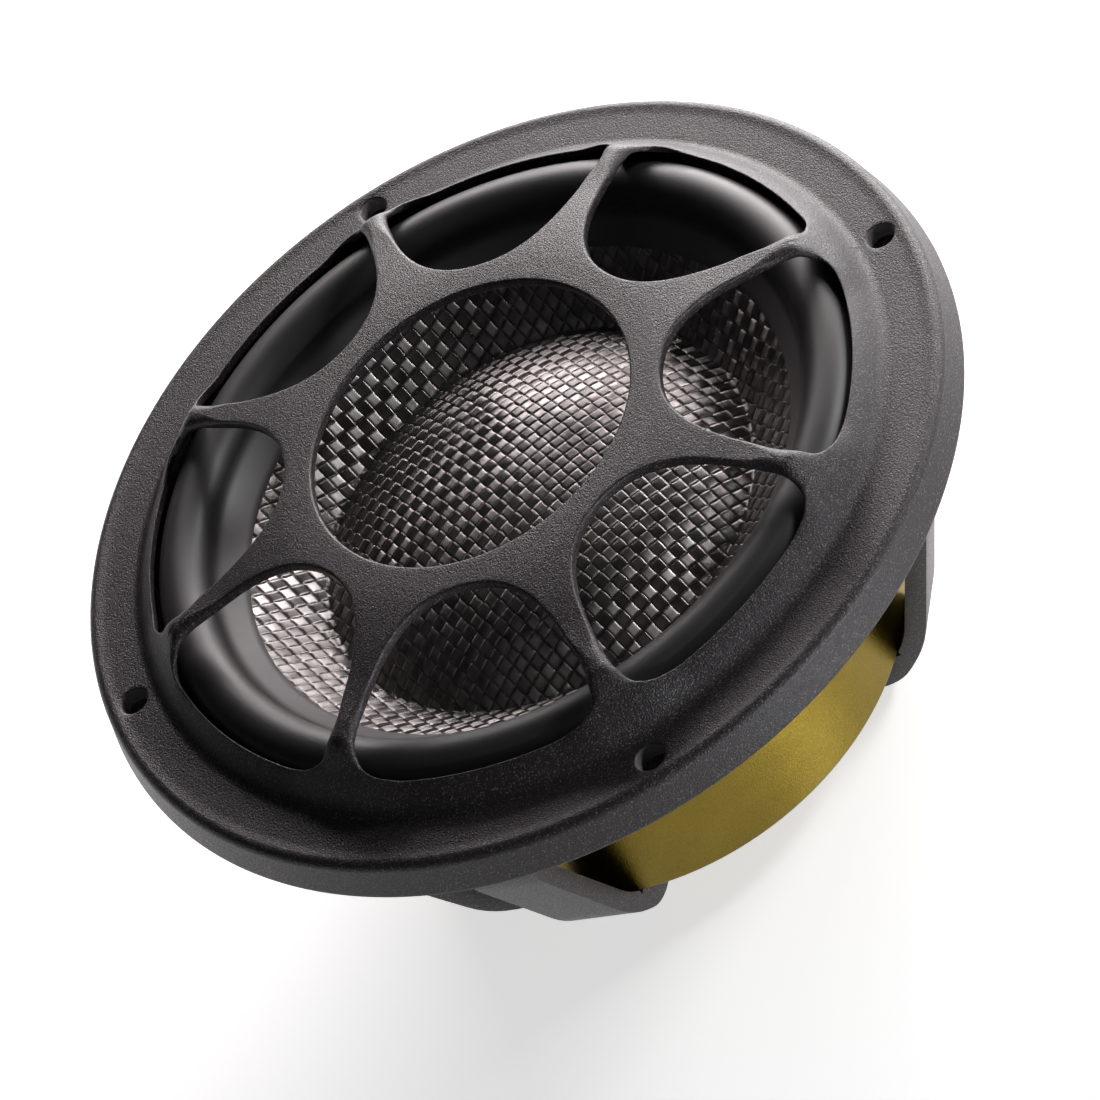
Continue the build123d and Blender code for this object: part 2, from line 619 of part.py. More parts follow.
def lead(side):
    """Tinsel lead: a slack loop from the former's collar to the back of the terminal board."""
    offset = TAB_SPACING * side
    collar_r = COIL_R + FORMER_T + COLLAR_T
    start = sqrt((collar_r + COLLAR_CLEAR) ** 2 - (abs(offset) - LEAD_R) ** 2)
    stop = BOARD_R - BOARD_T / 2
    route = [(start, LEAD_START_Z), *LEAD_RUN, (stop, BOARD_Z + LEAD_UP)]
    points = [board_frame(offset, r - BOARD_R, z).position for r, z in route]
    radii = []
    for before, here, after in zip(points, points[1:], points[2:]):
        turn = (here - before).get_angle(after - here)
        run = min((here - before).length, (after - here).length)
        radii.append(BEND_SHARE * run / tan(radians(turn / 2)))
    print("lead bend radii", [round(value, 1) for value in radii])
    path = FilletPolyline(*points, radius=radii)
    disc = Plane(points[0], z_dir=points[1] - points[0]) * Circle(LEAD_R)
    return sweep(disc, path=path)


def save(name, shape):
    """One STEP file for one node."""
    if isinstance(shape, (list, tuple)):
        shape = Compound(children=list(shape))
    export_step(shape, "parts/" + name + ".step")


os.makedirs("parts", exist_ok=True)
save("guard", guard())
save("guard_screws", guard_screws())
save("chassis", chassis())
save("gasket", gasket())
save("motor_cup", motor_cup())
save("motor_screws", motor_screws())
save("pole_ring", pole_ring())
save("ferrite_magnet", ferrite_magnet())
save("shorting_ring", shorting_ring())
save("pole_plate", pole_plate())
save("neo_magnet", neo_magnet())
save("core_sleeve", core_sleeve())
save("vent_screen", vent_screen())
save("spider_ring", spider_ring())
save("cone", cone())
save("former", former())
save("winding", winding())
save("coupler", coupler())
save("collar", collar())
save("surround", surround())
save("spider", spider())
save("terminal_board", terminal_board())
save("terminal_rivets", terminal_rivets())
save("bridge_rivets", bridge_rivets())
save("terminal_positive", terminal(-1, POSITIVE_W))
save("terminal_negative", terminal(1, NEGATIVE_W))
save("lead_positive", lead(-1))
save("lead_negative", lead(1))
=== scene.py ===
import json
from math import ceil, cos, hypot, pi, radians, sin, sqrt, tan

import bmesh
import bpy
import numpy as np
from mathutils import Matrix, Vector

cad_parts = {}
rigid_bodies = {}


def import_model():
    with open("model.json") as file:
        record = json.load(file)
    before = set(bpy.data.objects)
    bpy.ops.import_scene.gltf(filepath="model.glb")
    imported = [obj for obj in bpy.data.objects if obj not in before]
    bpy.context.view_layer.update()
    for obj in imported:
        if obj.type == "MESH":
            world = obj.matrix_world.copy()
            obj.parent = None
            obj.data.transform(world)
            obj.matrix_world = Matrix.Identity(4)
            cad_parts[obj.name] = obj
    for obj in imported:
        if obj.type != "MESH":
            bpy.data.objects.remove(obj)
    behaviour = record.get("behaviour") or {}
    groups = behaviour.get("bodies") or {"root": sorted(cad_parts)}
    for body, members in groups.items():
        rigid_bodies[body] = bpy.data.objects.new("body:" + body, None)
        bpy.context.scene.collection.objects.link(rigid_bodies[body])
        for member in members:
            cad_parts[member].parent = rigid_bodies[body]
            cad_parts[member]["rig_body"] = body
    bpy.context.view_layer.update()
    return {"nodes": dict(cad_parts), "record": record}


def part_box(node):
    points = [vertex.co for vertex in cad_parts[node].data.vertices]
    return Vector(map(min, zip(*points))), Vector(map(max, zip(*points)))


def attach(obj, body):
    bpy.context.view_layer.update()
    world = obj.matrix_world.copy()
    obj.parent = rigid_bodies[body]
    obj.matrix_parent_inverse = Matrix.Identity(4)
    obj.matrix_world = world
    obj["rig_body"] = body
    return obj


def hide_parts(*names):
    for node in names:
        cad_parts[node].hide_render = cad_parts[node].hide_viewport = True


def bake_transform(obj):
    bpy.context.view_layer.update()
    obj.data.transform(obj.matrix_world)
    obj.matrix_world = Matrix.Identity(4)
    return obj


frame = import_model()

MM = 0.001

# ---------------------------------------------------------------- sizes taken from the frame, in millimetres


def low(node):
    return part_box(node)[0] / MM


def high(node):
    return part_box(node)[1] / MM


RIM_R = high("guard").x
HUB_TOP_Z = high("guard").z
CONE_R = high("cone").x
COLLAR_R = high("collar").x
LEDGE_Z = high("chassis").z
ROLL_TOP_Z = high("surround").z
SURROUND_R = high("surround").x
REST_Z = low("chassis").z
HOLES = frame["record"]["mounts"][0]["dims"]
HOLE_CIRCLE_R = HOLES["pcd_mm"] / 2
HOLE_R = HOLES["hole_r_mm"]
SLOTS = {row["node"]: row["material_slot"] for row in frame["record"]["subparts"]}

# ---------------------------------------------------------------- the guard's own shape
ARMS = 8
BAND_Z = 7.0
BAND_UNDER_Z = 3.9
SKIRT_IN_R = 82.3
RIM_FRONT_R = RIM_R - 1.25
BEAD_R = 1.85
BEAD_TOP_Z = 7.25
LIP_FOOT_R = 73.9
HUB_HOLE_R = 31.0
WEB_THICK = 2.0
EDGE_ROUND = 0.5
UNDER_ROUND = 0.3
HUB_UNDER_ROUND = 0.5
HOLE_ROUND = 0.5
# the arms' edges are rounder from ROOT_START_R on, and plain again from ARM_FALL_R on
ROOT_ROUND = 1.7
ROOT_START_R = 55.0
ROOT_GROWS = 8.0
ROOT_FADES = 2.4
ROUND_DROP = 1.6
# the arms' ends stand above the lip: half-angles from an arm's middle, and radii where the rise grows
ARM_RISE = 1.25
ARM_SPREAD = (radians(4.5), radians(11.0))
ARM_RISE_R = (52.0, 66.0)
ARM_FALL_R = 68.4
WEB_TOP = [
    (HUB_HOLE_R, HUB_TOP_Z), (37.0, 21.4), (45.0, 20.5), (53.0, 19.0), (58.0, 17.8), (62.0, 16.8),
    (65.0, 15.6), (67.0, 13.5), (68.6, 11.6), (70.2, 10.2), (71.6, 8.75), (72.8, 7.5), (LIP_FOOT_R, BAND_Z),
]
# half a window's outline in plan, on one side of the x axis: two Bezier curves, then the lip's arc
WINDOW_ARM = [(36.6, 0.0), (36.6, 10.5), (44.5, 16.3), (56.5, 21.0)]
WINDOW_CORNER = [WINDOW_ARM[-1], (60.7, 22.6), (64.755, 23.31), (66.2, 17.985)]
WINDOW_MIDDLE_R = 53.0
# half a sector's quads: round the hub, along the arm, round the lip
HUB_STEPS = 16
ARM_STEPS = 56
LIP_STEPS = 24
HUB_STRETCH_R = 41.5

# ---------------------------------------------------------------- the diaphragm's own shape
VALLEY_R = 42.0
VALLEY_Z = -7.5
VALLEY_SOFT = 1.1
DOME_SPHERE_R = 68.0
DOME_REACH_R = 60.0
CONE_SLOPE = radians(41.0)
FLAP_IN_R = 53.1
ROLL_TUBE_R = 5.2
ROLL_R = 63.1
ROLL_Z = ROLL_TOP_Z - ROLL_TUBE_R
SKIN = 0.6
TOW = 2.2
TOW_ANGLE = radians(17.0)
TOW_STEPS = (0.0, 0.05, 0.22, 0.41, 0.59, 0.78, 0.95)
TOW_HEIGHT = 0.17
TOW_ARCH = 0.46
TOW_SWELL = 0.05
TOW_FLATNESS = 8
WEAVE_R = 54.6
PRESSING_THICK = 0.95

# ---------------------------------------------------------------- the leads' own shape
BOARD_ANGLE = radians(105.0)
BOARD_BACK_R = 66.2
TAB_SPACING = 6.0
LEAD_R = 0.5
LEAD_START_Z = -9.7
LEAD_RUN = [(44.8, -9.8), (50.6, -5.8), (57.6, -5.2), (61.0, -10.6), (BOARD_BACK_R, -12.6)]
STRANDS = 3
STRAND_GROOVE = 0.14
STRAND_TWIST = 1.4


# ---------------------------------------------------------------- mesh helpers
SEAM = 4e-6
CAD_SEAM = 2e-6
FLAT_ANGLE = radians(0.6)
SHARP_ANGLE = radians(33)


def curve_through(points, x):
    """A smooth curve through (x, y) points, evaluated at x."""
    px = np.array([p[0] for p in points], float)
    py = np.array([p[1] for p in points], float)
    slope = np.gradient(py, px)
    x = np.clip(x, px[0], px[-1])
    i = np.clip(np.searchsorted(px, x, side="right") - 1, 0, len(px) - 2)
    span = px[i + 1] - px[i]
    t = (x - px[i]) / span
    return (
        py[i] * (1 + 2 * t) * (1 - t) ** 2 + slope[i] * span * t * (1 - t) ** 2
        + py[i + 1] * t * t * (3 - 2 * t) + slope[i + 1] * span * t * t * (t - 1)
    )


class Builder:
    """Collects quads given as grids of points, in millimetres, and welds them into one object."""

    def __init__(self):
        self.points = []
        self.faces = []

    def grid(self, rows, closed=False):
        """Rows of points of equal length become quads; closed joins each row's last point to its first."""
        rows = np.asarray(rows, float)
        height, width = rows.shape[:2]
        base = len(self.points)
        self.points.extend(rows.reshape(-1, 3).tolist())
        for i in range(height - 1):
            for j in range(width if closed else width - 1):
                k = (j + 1) % width
                a = base + i * width
                b = a + width
                self.faces.append((a + j, a + k, b + k, b + j))

    def make(self, name, sharp=50.0):
        mesh = bpy.data.meshes.new(name)
        mesh.from_pydata([(x * MM, y * MM, z * MM) for x, y, z in self.points], [], self.faces)
        work = bmesh.new()
        work.from_mesh(mesh)
        bmesh.ops.remove_doubles(work, verts=work.verts, dist=SEAM)
        bmesh.ops.recalc_face_normals(work, faces=work.faces)
        work.to_mesh(mesh)
        work.free()
        return place(name, mesh, sharp)


def shade_smooth(mesh, sharp):
    """Smooth shading that breaks at edges sharper than this many degrees."""
    mesh.polygons.foreach_set("use_smooth", [True] * len(mesh.polygons))
    mesh.set_sharp_from_angle(angle=radians(sharp))


def place(name, mesh, sharp):
    shade_smooth(mesh, sharp)
    piece = bpy.data.objects.new(name, mesh)
    bpy.context.scene.collection.objects.link(piece)
    return piece


def lathe(builder, profile, count):
    """Turns a list of (radius, height) points about the axis."""
    angles = np.arange(count) * 2 * pi / count
    rows = [[(r * cos(a), r * sin(a), z) for a in angles] for r, z in profile]
    builder.grid(rows, closed=True)


def arc(centre, radius, start, end, steps):
    """Points of an arc in (radius, height), angles in degrees."""
    turn = [radians(start + (end - start) * i / steps) for i in range(steps + 1)]
    return [(centre[0] + radius * cos(a), centre[1] + radius * sin(a)) for a in turn]


def softened(node, width, finish):
    """A CAD node with its sharp edges rounded, standing for that node."""
    source = frame["nodes"][node]
    mesh = source.data.copy()
    mesh.materials.clear()
    work = bmesh.new()
    work.from_mesh(mesh)
    bmesh.ops.remove_doubles(work, verts=work.verts, dist=CAD_SEAM)
    bmesh.ops.dissolve_limit(work, angle_limit=FLAT_ANGLE, verts=work.verts, edges=work.edges)
    edges = [e for e in work.edges if len(e.link_faces) == 2 and e.calc_face_angle(0) > SHARP_ANGLE]
    bmesh.ops.bevel(
        work, geom=edges, offset=width * MM, segments=3, profile=0.5, affect="EDGES",
        clamp_overlap=True, loop_slide=True,
    )
    bmesh.ops.triangulate(work, faces=[f for f in work.faces if len(f.verts) > 4])
    work.to_mesh(mesh)
    work.free()
    piece = place(node + "_finished", mesh, 40.0)
    piece.data.materials.append(finish[SLOTS[node]])
    finish_piece(piece, node)
    return piece


def mark_points(piece, name, values):
    """A number for each of the piece's points, which its material reads by this name."""
    mark = piece.data.attributes.new(name, "FLOAT", "POINT")
    mark.data.foreach_set("value", values.astype(np.float32))


def mark_painted_hole_light(piece):
    """Marks the walls of the mounting holes, whose colour is painted a lighter grey: painted light for the
    light that reaches into them.
    """
    wall = 0.1
    spots = np.array([v.co[:2] for v in piece.data.vertices]) / MM
    centres = HOLE_CIRCLE_R * np.array([[1, 0], [0, 1], [-1, 0], [0, -1]])
    away = np.min([np.hypot(*(spots - centre).T) for centre in centres], axis=0)
    mark_points(piece, "painted_hole_light", away < HOLE_R + wall)


def finish_piece(piece, node):
    """The piece rides on its node's body and stands for that node."""
    body = frame["nodes"][node]["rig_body"]
    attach(piece, body)
    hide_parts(node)


# ---------------------------------------------------------------- materials
def nodes_of(material):
    material.use_nodes = True
    tree = material.node_tree
    tree.nodes.clear()
    out = tree.nodes.new("ShaderNodeOutputMaterial")
    shader = tree.nodes.new("ShaderNodeBsdfPrincipled")
    tree.links.new(shader.outputs[0], out.inputs[0])
    return tree, shader


def noise(tree, vector, scale, detail, roughness):
    """A noise texture; scale is in features per metre."""
    node = tree.nodes.new("ShaderNodeTexNoise")
    node.inputs["Scale"].default_value = scale
    node.inputs["Detail"].default_value = detail
    node.inputs["Roughness"].default_value = roughness
    tree.links.new(vector, node.inputs["Vector"])
    return node.outputs[0]


def ramp(tree, value, stops):
    """Maps a value through (position, colour) stops; a single number stands for a grey."""
    node = tree.nodes.new("ShaderNodeValToRGB")
    band = node.color_ramp
    while len(band.elements) < len(stops):
        band.elements.new(0.5)
    for element, (position, colour) in zip(band.elements, stops):
        element.position = position
        rgb = (colour,) * 3 if isinstance(colour, (int, float)) else colour
        element.color = (*rgb, 1.0)
    tree.links.new(value, node.inputs[0])
    return node.outputs[0]


def attribute(tree, name):
    node = tree.nodes.new("ShaderNodeAttribute")
    node.attribute_name = name
    return node.outputs["Fac"]


def scalar_mix(tree, factor, a, b):
    node = tree.nodes.new("ShaderNodeMix")
    node.data_type = "FLOAT"
    tree.links.new(factor, node.inputs[0])
    tree.links.new(a, node.inputs[2])
    tree.links.new(b, node.inputs[3])
    return node.outputs[0]


def colour_mix(tree, factor, a, b):
    """From a to b as the factor goes from 0 to 1; each is a colour or a socket."""
    node = tree.nodes.new("ShaderNodeMix")
    node.data_type = "RGBA"
    tree.links.new(factor, node.inputs["Factor"])
    for name, value in (("A", a), ("B", b)):
        if isinstance(value, tuple):
            node.inputs[name].default_value = (*value, 1.0)
        else:
            tree.links.new(value, node.inputs[name])
    return node.outputs["Result"]


def math_node(tree, operation, a, b):
    node = tree.nodes.new("ShaderNodeMath")
    node.operation = operation
    for socket, value in zip(node.inputs, (a, b)):
        if isinstance(value, (int, float)):
            socket.default_value = value
        else:
            tree.links.new(value, socket)
    return node.outputs[0]


def bump(tree, shader, height, strength, distance):
    """Adds a bump; a bump that is already on the shader feeds the new one."""
    node = tree.nodes.new("ShaderNodeBump")
    node.inputs["Strength"].default_value = strength
    node.inputs["Distance"].default_value = distance
    tree.links.new(height, node.inputs["Height"])
    if shader.inputs["Normal"].is_linked:
        tree.links.new(shader.inputs["Normal"].links[0].from_socket, node.inputs["Normal"])
    tree.links.new(node.outputs[0], shader.inputs["Normal"])


def place_vector(tree, scale=(1.0, 1.0, 1.0), turn=0.0):
    """Position on the object in metres, stretched and turned about the axis."""
    coordinates = tree.nodes.new("ShaderNodeTexCoord")
    mapping = tree.nodes.new("ShaderNodeMapping")
    mapping.vector_type = "POINT"
    mapping.inputs["Scale"].default_value = scale
    mapping.inputs["Rotation"].default_value = (0, 0, turn)
    tree.links.new(coordinates.outputs["Object"], mapping.inputs["Vector"])
    return mapping.outputs[0]


def finish_material(
    name, dark, light, rough, metallic=0.0, patch=60.0, grain=2500.0, grain_depth=0.00003,
    grain_strength=0.3, stretch=(1.0, 1.0, 1.0), turned=0.0,
):
    """A finish with slow colour and roughness changes and a fine grain.

    patch and grain are the sizes of both noises in features per metre, grain_depth is in metres, and
    turned, from 0 to 1, spreads the highlights along the axis as on a piece turned on a lathe.
    """
    material = bpy.data.materials.new(name)
    tree, shader = nodes_of(material)
    here = place_vector(tree)
    slow = noise(tree, here, patch, 4.0, 0.6)
    fine = noise(tree, place_vector(tree, stretch), grain, 2.0, 0.6)
    tone = math_node(
        tree, "ADD", math_node(tree, "MULTIPLY", slow, 0.55), math_node(tree, "MULTIPLY", fine, 0.45),
    )
    tree.links.new(ramp(tree, tone, [(0.3, dark), (0.7, light)]), shader.inputs["Base Color"])
    tree.links.new(ramp(tree, tone, [(0.3, rough[0]), (0.7, rough[1])]), shader.inputs["Roughness"])
    shader.inputs["Metallic"].default_value = metallic
    shader.inputs["Anisotropic"].default_value = turned
    shader.inputs["Anisotropic Rotation"].default_value = 0.25
    bump(tree, shader, fine, grain_strength, grain_depth)
    return material


def powder_coat():
    """Satin charcoal powder coat: pebble grain with lighter flecks; the walls of the mounting holes are
    painted a lighter grey, painted light for the light that reaches into them.
    """
    material = bpy.data.materials.new("powder_coat")
    tree, shader = nodes_of(material)
    here = place_vector(tree)
    pebble = noise(tree, here, 3100.0, 2.0, 0.6)
    fleck = noise(tree, here, 3300.0, 1.0, 0.5)
    slow = noise(tree, here, 38.0, 3.0, 0.5)
    body = ramp(tree, slow, [(0.3, (0.013, 0.0100, 0.0112)), (0.7, (0.018, 0.0146, 0.0158))])
    sparkle = ramp(tree, fleck, [(0.58, 0.0), (0.72, 1.0)])
    coat = colour_mix(tree, math_node(tree, "MULTIPLY", sparkle, 0.65), body, (0.20, 0.185, 0.185))
    # painted light: the walls of the mounting holes take a lighter grey in place of the light that reaches
    # into them
    colour = colour_mix(tree, attribute(tree, "painted_hole_light"), coat, (0.17, 0.165, 0.17))
    tree.links.new(colour, shader.inputs["Base Color"])
    tree.links.new(ramp(tree, pebble, [(0.35, 0.31), (0.65, 0.50)]), shader.inputs["Roughness"])
    shader.inputs["Specular IOR Level"].default_value = 0.42
    bump(tree, shader, pebble, 1.0, 0.00015)
    return material


def woven_carbon():
    """Carbon tows: each family shines across its own fibres; the base colour is painted near black where a
    tow dives under and at its sides, painted shade for the grooves between tows.
    """
    material = bpy.data.materials.new("woven_carbon")
    tree, shader = nodes_of(material)
    flag = attribute(tree, "family")
    rise = attribute(tree, "rise")
    split = tree.nodes.new("ShaderNodeSeparateXYZ")
    tree.links.new(place_vector(tree, turn=-TOW_ANGLE), split.inputs[0])
    along = scalar_mix(tree, flag, split.outputs[0], split.outputs[1])
    across = scalar_mix(tree, flag, split.outputs[1], split.outputs[0])
    fibre = tree.nodes.new("ShaderNodeCombineXYZ")
    tree.links.new(math_node(tree, "MULTIPLY", along, 0.08), fibre.inputs[0])
    tree.links.new(across, fibre.inputs[1])
    lines = noise(tree, fibre.outputs[0], 7000.0, 2.0, 0.6)
    tone = noise(tree, fibre.outputs[0], 420.0, 1.0, 0.5)
    colour = ramp(tree, tone, [(0.35, (0.125, 0.115, 0.112)), (0.65, (0.25, 0.233, 0.227))])
    # painted shade: near black base colour where a tow sinks into the groove beside its neighbours
    up = ramp(tree, rise, [(0.03, 0.0), (0.25, 1.0)])
    tree.links.new(colour_mix(tree, up, (0.006, 0.0048, 0.0048), colour), shader.inputs["Base Color"])
    tree.links.new(ramp(tree, lines, [(0.3, 0.32), (0.7, 0.40)]), shader.inputs["Roughness"])
    shader.inputs["Metallic"].default_value = 0.9
    shader.inputs["Anisotropic"].default_value = 0.95
    tangent = tree.nodes.new("ShaderNodeMix")
    tangent.data_type = "VECTOR"
    tangent.inputs[4].default_value = (-sin(TOW_ANGLE), cos(TOW_ANGLE), 0.0)
    tangent.inputs[5].default_value = (cos(TOW_ANGLE), sin(TOW_ANGLE), 0.0)
    tree.links.new(flag, tangent.inputs[0])
    tree.links.new(tangent.outputs[1], shader.inputs["Tangent"])
    bump(tree, shader, lines, 0.25, 0.00002)
    return material


FINISHES = {
    "gold_steel": dict(
        dark=(0.15, 0.102, 0.012), light=(0.29, 0.215, 0.036), rough=(0.33, 0.42), metallic=1.0,
        patch=35, grain=3000, grain_depth=0.0001, grain_strength=0.7, turned=0.8,
    ),
    "black_steel": dict(
        dark=(0.020, 0.020, 0.022), light=(0.045, 0.045, 0.05), rough=(0.30, 0.45), metallic=0.6, patch=300,
    ),
    "foam_rubber": dict(
        dark=(0.012, 0.012, 0.012), light=(0.03, 0.03, 0.03), rough=(0.85, 0.95), grain=1800,
        grain_depth=0.0002, grain_strength=0.8,
    ),
    "steel": dict(
        dark=(0.42, 0.42, 0.43), light=(0.56, 0.56, 0.57), rough=(0.25, 0.38), metallic=1.0,
        stretch=(1, 1, 12),
    ),
    "ferrite": dict(
        dark=(0.03, 0.03, 0.033), light=(0.06, 0.06, 0.065), rough=(0.6, 0.75), patch=200,
    ),
    "aluminium": dict(
        dark=(0.62, 0.63, 0.65), light=(0.76, 0.77, 0.78), rough=(0.28, 0.40), metallic=1.0,
        stretch=(1, 1, 10),
    ),
    "nickel": dict(
        dark=(0.58, 0.56, 0.52), light=(0.70, 0.68, 0.64), rough=(0.15, 0.28), metallic=1.0,
    ),
    "brass": dict(
        dark=(0.52, 0.36, 0.12), light=(0.68, 0.50, 0.20), rough=(0.22, 0.36), metallic=1.0,
    ),
    "black_plastic": dict(
        dark=(0.014, 0.014, 0.015), light=(0.028, 0.028, 0.03), rough=(0.45, 0.6), grain=1500,
    ),
    "copper_wire": dict(
        dark=(0.42, 0.16, 0.06), light=(0.60, 0.27, 0.12), rough=(0.25, 0.4), metallic=1.0,
        stretch=(0.2, 0.2, 6),
    ),
    "epoxy": dict(
        dark=(0.01, 0.01, 0.01), light=(0.03, 0.03, 0.03), rough=(0.15, 0.3), grain=700,
    ),
    "paper": dict(
        dark=(0.30, 0.22, 0.13), light=(0.44, 0.34, 0.22), rough=(0.8, 0.9), grain=1600,
        stretch=(1, 1, 0.2),
    ),
    "fibre_board": dict(
        dark=(0.045, 0.020, 0.010), light=(0.11, 0.055, 0.028), rough=(0.45, 0.6), grain=1300,
        stretch=(1, 1, 0.15),
    ),
    "tinned_brass": dict(
        dark=(0.50, 0.48, 0.42), light=(0.66, 0.64, 0.58), rough=(0.25, 0.42), metallic=1.0, patch=400,
    ),
    "tinsel": dict(
        dark=(0.36, 0.20, 0.10), light=(0.62, 0.44, 0.28), rough=(0.35, 0.55), metallic=0.7,
        grain=3500, grain_depth=0.0001, grain_strength=0.8,
    ),
}


def all_materials():
    """One finish for each of the record's material slots."""
    made = {name: finish_material(name, **look) for name, look in FINISHES.items()}
    made["powder_coat"] = powder_coat()
    made["woven_carbon"] = woven_carbon()
    made["rubber"] = rubber()
    made["spider_cloth"] = spider_cloth()
    return made


def rubber():
    """Black rubber, satin on the roll; the flap glued to the cone is painted a lighter grey, painted light
    standing in for fill light on it.
    """
    material = finish_material(
        "rubber", (0.011, 0.0105, 0.011), (0.019, 0.018, 0.0185), (0.42, 0.52), patch=90, grain=4000,
        grain_depth=0.00002, grain_strength=0.2,
    )
    tree = material.node_tree
    shader = tree.nodes["Principled BSDF"]
    clean = shader.inputs["Base Color"].links[0].from_socket
    # painted light: the flap takes a lighter grey in place of the fill light it lacks
    flap_painted_light = colour_mix(tree, attribute(tree, "flap"), clean, (0.060, 0.056, 0.058))
    tree.links.new(flap_painted_light, shader.inputs["Base Color"])
    return material


def spider_cloth():
    """Resin-stiffened open cotton weave."""
    material = bpy.data.materials.new("spider_cloth")
    tree, shader = nodes_of(material)
    threads = []
    for direction in ("X", "Y"):
        wave = tree.nodes.new("ShaderNodeTexWave")
        wave.bands_direction = direction
        wave.inputs["Scale"].default_value = 520.0
        wave.inputs["Distortion"].default_value = 0.6
        tree.links.new(place_vector(tree), wave.inputs["Vector"])
        threads.append(wave.outputs["Fac"])
    weave = math_node(tree, "MULTIPLY", threads[0], threads[1])
    colour = ramp(tree, weave, [(0.1, (0.13, 0.085, 0.030)), (0.8, (0.42, 0.31, 0.13))])
    tree.links.new(colour, shader.inputs["Base Color"])
    shader.inputs["Roughness"].default_value = 0.75
    bump(tree, shader, weave, 0.7, 0.0002)
    return material


# ---------------------------------------------------------------- the guard
def web_z(r):
    return curve_through(WEB_TOP, r)


def bezier(corners, count):
    t = np.linspace(0, 1, count)[:, None]
    a, b, c, d = np.array(corners, float)
    return a * (1 - t) ** 3 + b * 3 * t * (1 - t) ** 2 + c * 3 * t * t * (1 - t) + d * t ** 3


def window_outline():
    """Half of a window's outline in plan, from the hub to the lip, in the sector's three stretches."""
    arm_points, corner_points, lip_points = 200, 120, 60
    corner_split = 78
    end_x, end_y = WINDOW_CORNER[-1]
    sweep = np.linspace(np.arctan2(end_y, end_x), 0, lip_points)[1:]
    lip = hypot(end_x, end_y) * np.stack([np.cos(sweep), np.sin(sweep)], 1)
    path = np.concatenate([bezier(WINDOW_ARM, arm_points), bezier(WINDOW_CORNER, corner_points)[1:], lip])
    length = np.concatenate([[0], np.cumsum(np.hypot(*np.diff(path, axis=0).T))])
    first = length[np.argmax(np.hypot(path[:, 0], path[:, 1]) > HUB_STRETCH_R)]
    second = length[arm_points + corner_split]
    marks = np.concatenate([
        np.linspace(0, first, HUB_STEPS + 1), np.linspace(first, second, ARM_STEPS + 1)[1:],
        np.linspace(second, length[-1], LIP_STEPS + 1)[1:],
    ])
    return np.stack([np.interp(marks, length, path[:, 0]), np.interp(marks, length, path[:, 1])], 1)


def sector_edge():
    """Half of the sector's edge in plan: round the hub, along an arm's middle and round the lip's foot."""
    half = pi / ARMS
    hub_r = HUB_HOLE_R + EDGE_ROUND
    hub = [(hub_r * cos(a), hub_r * sin(a)) for a in np.linspace(0, half, HUB_STEPS + 1)]
    arm = [(r * cos(half), r * sin(half)) for r in np.linspace(hub_r, LIP_FOOT_R, ARM_STEPS + 1)[1:]]
    foot = [(LIP_FOOT_R * cos(a), LIP_FOOT_R * sin(a)) for a in np.linspace(half, 0, LIP_STEPS + 1)[1:]]
    return np.array(hub + arm + foot)


def mirrored(half):
    """A half outline and its mirror image as one closed loop."""
    other = half[1:-1][::-1] * np.array([1, -1])
    return np.concatenate([half, other])


def smooth_step(t):
    t = np.clip(t, 0, 1)
    return t * t * (3 - 2 * t)


def arm_rise(flat):
    """How far the arms' ends stand above the lip before they drop to its foot."""
    radius = np.hypot(flat[:, 0], flat[:, 1])
    from_arm = pi / ARMS - np.abs(np.arctan2(flat[:, 1], flat[:, 0]))
    near, far = ARM_SPREAD
    start, full = ARM_RISE_R
    across = smooth_step((far - from_arm) / (far - near))
    up = smooth_step((radius - start) / (full - start))
    down = smooth_step((LIP_FOOT_R - radius) / (LIP_FOOT_R - ARM_FALL_R))
    return ARM_RISE * across * up * down


def guard_sector(builder, angle):
    """One eighth of the guard's web: a ring of quads between a window's edge and the sector's edge."""
    edge = mirrored(window_outline())
    border = mirrored(sector_edge())
    tangent = np.roll(edge, -1, axis=0) - np.roll(edge, 1, axis=0)
    tangent /= np.linalg.norm(tangent, axis=1)[:, None]
    outward = np.stack([tangent[:, 1], -tangent[:, 0]], 1)
    middle = np.array([WINDOW_MIDDLE_R, 0.0])
    outward *= np.sign(np.sum(outward * (edge - middle), axis=1))[:, None]
    turn = np.array([[cos(angle), -sin(angle)], [sin(angle), cos(angle)]])

    def row(flat, top, drop):
        radius = np.hypot(flat[:, 0], flat[:, 1])
        z = web_z(radius) + arm_rise(flat) - (0 if top else WEB_THICK) + drop
        return np.concatenate([flat @ turn.T, z[:, None]], 1)

    reach = np.hypot(edge[:, 0], edge[:, 1])
    grown = smooth_step((reach - ROOT_START_R) / ROOT_GROWS)
    soft = EDGE_ROUND + ROOT_ROUND * grown * smooth_step((ARM_FALL_R - reach) / ROOT_FADES)
    start = edge + outward * soft[:, None]
    rows = [row(start + (border - start) * t, True, 0.0) for t in np.linspace(1, 0, 8)]
    fall = np.minimum(soft, ROUND_DROP)
    for a in np.radians([75, 60, 45, 30, 15, 0]):
        rows.append(row(edge + outward * soft[:, None] * (1 - cos(a)), True, -fall * (1 - sin(a))))
    for a in np.radians([0, 30, 60, 90]):
        rows.append(row(edge + outward * UNDER_ROUND * (1 - cos(a)), False, UNDER_ROUND * (1 - sin(a))))
    start = edge + outward * UNDER_ROUND
    rows += [row(start + (border - start) * t, False, 0.0) for t in np.linspace(0, 1, 6)[1:]]
    builder.grid(rows, closed=True)


